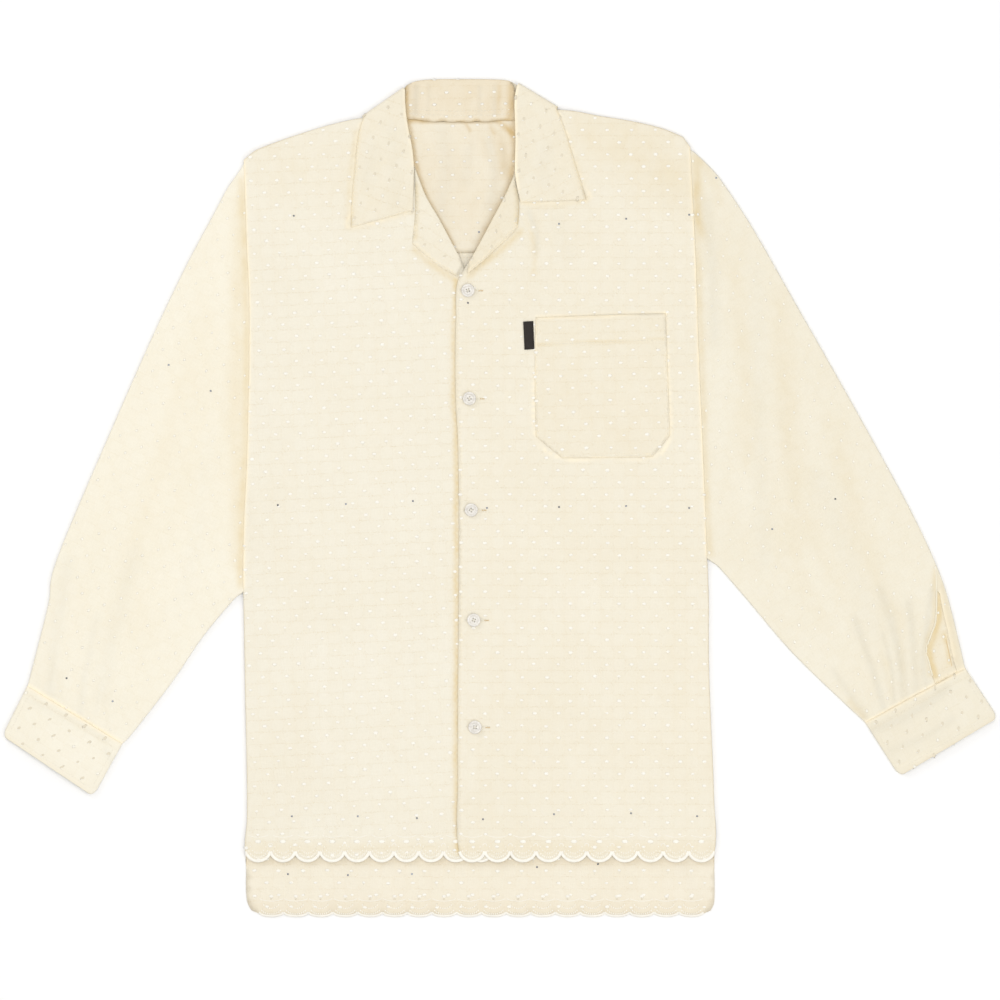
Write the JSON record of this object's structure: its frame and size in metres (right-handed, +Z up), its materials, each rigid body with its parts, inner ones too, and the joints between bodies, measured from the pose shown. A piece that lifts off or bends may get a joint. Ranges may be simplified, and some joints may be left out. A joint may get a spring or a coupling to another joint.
{
  "type": "lace shirt",
  "caption": "Long-sleeved lace shirt with a camp collar, chest pocket, buttoned front and scalloped step hem, laid flat face up.",
  "frame": {"origin": "on the underside of the back panel, near the middle of the body between the second and third button, in the plane that the shirt lies on", "axes": "+Z up from the surface, +Y towards the collar, +X towards the wearer's left sleeve (the viewer's right, seen from above)"},
  "size_m": [0.9313, 0.7876, 0.0079],
  "materials": {
    "cotton": "matt embroidered cotton lawn, cream with near-white dots",
    "cotton_inside": "matt cotton lawn, inside face",
    "tab": "plain black woven ribbon",
    "pearl": "pearly grey-white, glossy"
  },
  "bodies": {
    "root": {"back": "cotton_inside", "back_yoke": "cotton_inside", "right_front": "cotton", "left_front": "cotton", "right_lapel": "cotton", "left_lapel": "cotton", "collar": "cotton", "collar_stand": "cotton_inside", "right_sleeve": "cotton", "left_sleeve": "cotton", "right_cuff": "cotton", "left_cuff": "cotton", "left_sleeve_placket": "cotton", "pocket": "cotton", "label_tab": "tab", "button_1": "pearl", "button_2": "pearl", "button_3": "pearl", "button_4": "pearl", "button_5": "pearl"}
  },
  "joints": []
}
